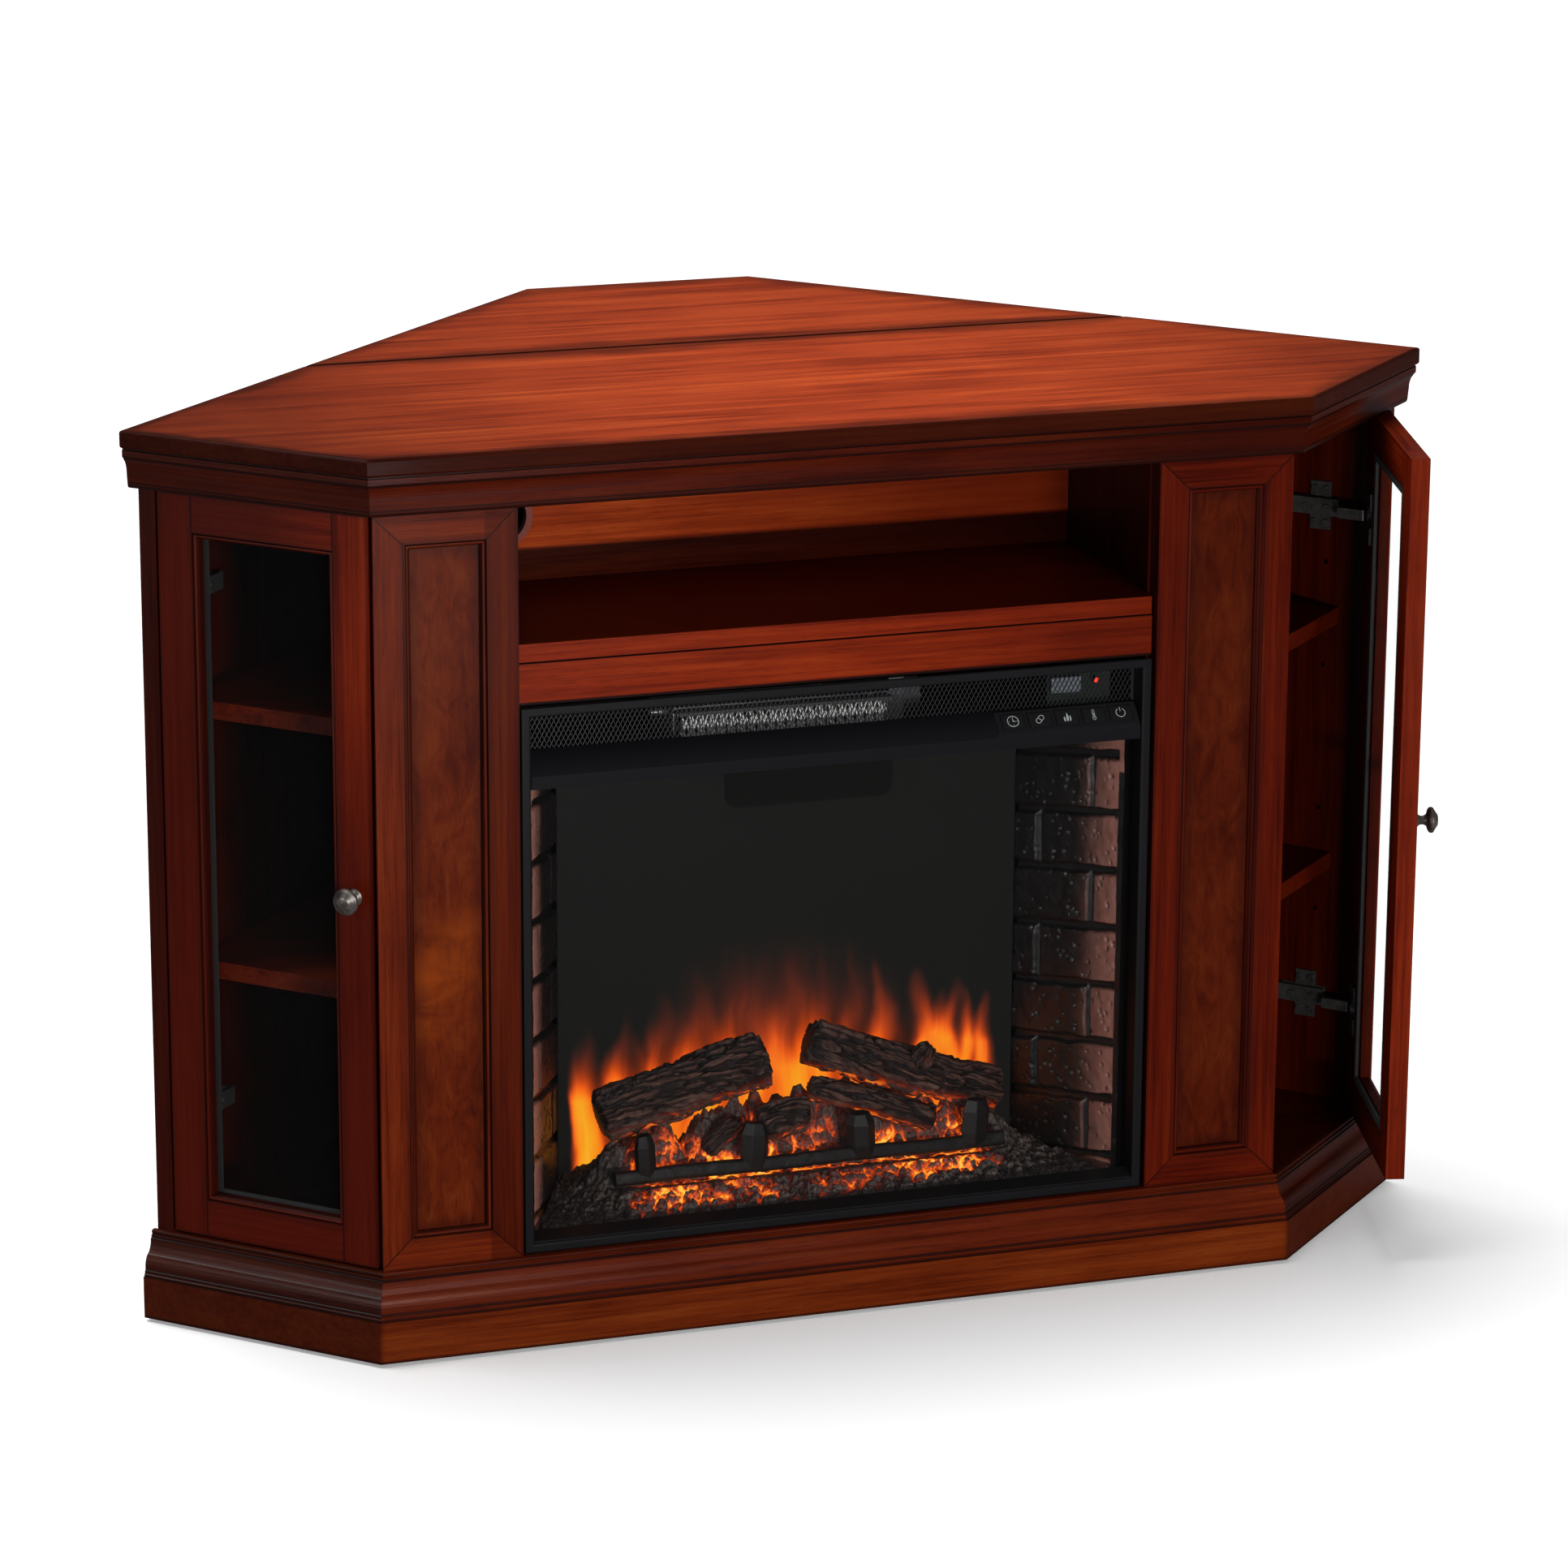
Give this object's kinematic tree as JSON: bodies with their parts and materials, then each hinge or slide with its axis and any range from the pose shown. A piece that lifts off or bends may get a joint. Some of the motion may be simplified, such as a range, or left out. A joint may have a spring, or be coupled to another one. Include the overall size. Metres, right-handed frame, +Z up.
{
  "type": "corner fireplace",
  "caption": "Corner media cabinet with an electric firebox, mesh heater outlet and sloped controls, an open media bay, glazed side cabinets and a removable corner top.",
  "frame": {"origin": "on the floor under the centre foot, midway through the depth of the main cabinet", "axes": "+X along the front to the viewer's right, +Z up, -Y out of the front"},
  "size_m": [1.215, 0.699, 0.819],
  "materials": {
    "cherry_gloss": "glossy lacquer over stained cherry veneer, edges burnished darker",
    "cherry_case": "satin lacquer over stained cherry veneer",
    "base_board": "raw sawn board",
    "rear_board": "thin board, printed brown on its outer face",
    "glide": "matt, moulded",
    "bracket_steel": "black powder coat",
    "door_glass": "clear, polished",
    "fire_glass": "clear, polished",
    "gasket": "matt black strip",
    "pewter": "antique dark pewter",
    "hinge_nickel": "nickel plated, dulled",
    "pin_zinc": "zinc plated",
    "case_sheet": "black sheet steel",
    "trim_black": "fine black powder coat",
    "bar_black": "smooth black, slightly glossy",
    "key_black": "matt black with pale printed symbols",
    "board_green": "green laminate",
    "heater_wire": "bright wire between pale bars",
    "blower_steel": "bright sheet",
    "motor_steel": "grey steel",
    "brick": "rough, painted as brown brick with dark joints",
    "flame_film": "dark translucent sheet lit from behind",
    "ember_resin": "translucent, painted as ash, lit from below",
    "log_bark": "rough, painted as charred bark",
    "grate_iron": "matt black",
    "inlet_black": "matt black"
  },
  "bodies": {
    "cabinet": {"top_panel": "cherry_gloss", "extension_brackets": "bracket_steel", "crown_front": "cherry_gloss", "crown_returns": "cherry_gloss", "base_cap_front": "cherry_gloss", "base_cap_returns": "cherry_gloss", "plinth_boards": "cherry_gloss", "base_frame": "base_board", "glides": "glide", "left_column": "cherry_gloss", "right_column": "cherry_gloss", "column_panels": "cherry_gloss", "wall_side_panels": "cherry_case", "dividers": "cherry_case", "bottom_panel": "cherry_case", "carcase_rails": "cherry_case", "rear_panel": "rear_board", "media_shelf": "cherry_case", "apron_rail": "cherry_case", "bay_back": "cherry_case", "adjustable_shelves": "cherry_case", "shelf_pins": "pin_zinc", "hinge_arms": "hinge_nickel", "firebox_case": "case_sheet", "trim_frame": "trim_black", "mesh_grille": "trim_black", "control_bar": "bar_black", "switch_board": "board_green", "light_boards": "board_green", "heater_element": "heater_wire", "blower_housing": "blower_steel", "drive_motors": "motor_steel", "firebox_glass": "fire_glass", "brick_panels": "brick", "flame_screen": "flame_film", "baffle_plate": "case_sheet", "ember_bed": "ember_resin", "split_logs": "log_bark", "small_logs": "log_bark", "grate": "grate_iron", "power_inlet": "inlet_black", "cable_bushes": "inlet_black"},
    "left_door": {"left_door_frame": "cherry_gloss", "left_door_glass": "door_glass", "left_door_gasket": "gasket", "left_door_knob": "pewter", "left_hinge_cups": "hinge_nickel"},
    "right_door": {"right_door_frame": "cherry_gloss", "right_door_glass": "door_glass", "right_door_gasket": "gasket", "right_door_knob": "pewter", "right_hinge_cups": "hinge_nickel"},
    "extension": {"top_extension": "cherry_gloss"},
    "blower": {"blower_wheel": "blower_steel"},
    "spindle": {"flame_spindle": "blower_steel"},
    "timer_key": {"timer_button": "key_black"},
    "dimmer_key": {"dimmer_button": "key_black"},
    "flame_key": {"flame_button": "key_black"},
    "heat_key": {"heat_button": "key_black"},
    "power_key": {"power_button": "key_black"}
  },
  "joints": [
    {"name": "left_door_hinge", "type": "hinge", "parent": "cabinet", "child": "left_door", "pos_m": [-0.5773, -0.01985, 0.424], "axis": [0, 0, -1], "range_deg": [0, 105]},
    {"name": "right_door_hinge", "type": "hinge", "parent": "cabinet", "child": "right_door", "pos_m": [0.5773, -0.01985, 0.424], "axis": [0, 0, 1], "range_deg": [-33, 72]},
    {"name": "extension_lift", "type": "slide", "parent": "cabinet", "child": "extension", "axis": [0, 0, 1], "range_m": [0, 0.15]},
    {"name": "blower_spin", "type": "hinge", "parent": "cabinet", "child": "blower", "pos_m": [-0.04, -0.0645, 0.542], "axis": [1, 0, 0], "continuous": true},
    {"name": "spindle_spin", "type": "hinge", "parent": "cabinet", "child": "spindle", "pos_m": [0, 0.018, 0.1157], "axis": [1, 0, 0], "continuous": true},
    {"name": "timer_press", "type": "slide", "parent": "cabinet", "child": "timer_key", "axis": [0, 0.7126, -0.7016], "range_m": [0, 0.001], "stiffness_N_per_m": 800, "springref_m": -0.0005},
    {"name": "dimmer_press", "type": "slide", "parent": "cabinet", "child": "dimmer_key", "axis": [0, 0.7126, -0.7016], "range_m": [0, 0.001], "stiffness_N_per_m": 800, "springref_m": -0.0005},
    {"name": "flame_press", "type": "slide", "parent": "cabinet", "child": "flame_key", "axis": [0, 0.7126, -0.7016], "range_m": [0, 0.001], "stiffness_N_per_m": 800, "springref_m": -0.0005},
    {"name": "heat_press", "type": "slide", "parent": "cabinet", "child": "heat_key", "axis": [0, 0.7126, -0.7016], "range_m": [0, 0.001], "stiffness_N_per_m": 800, "springref_m": -0.0005},
    {"name": "power_press", "type": "slide", "parent": "cabinet", "child": "power_key", "axis": [0, 0.7126, -0.7016], "range_m": [0, 0.001], "stiffness_N_per_m": 800, "springref_m": -0.0005}
  ]
}
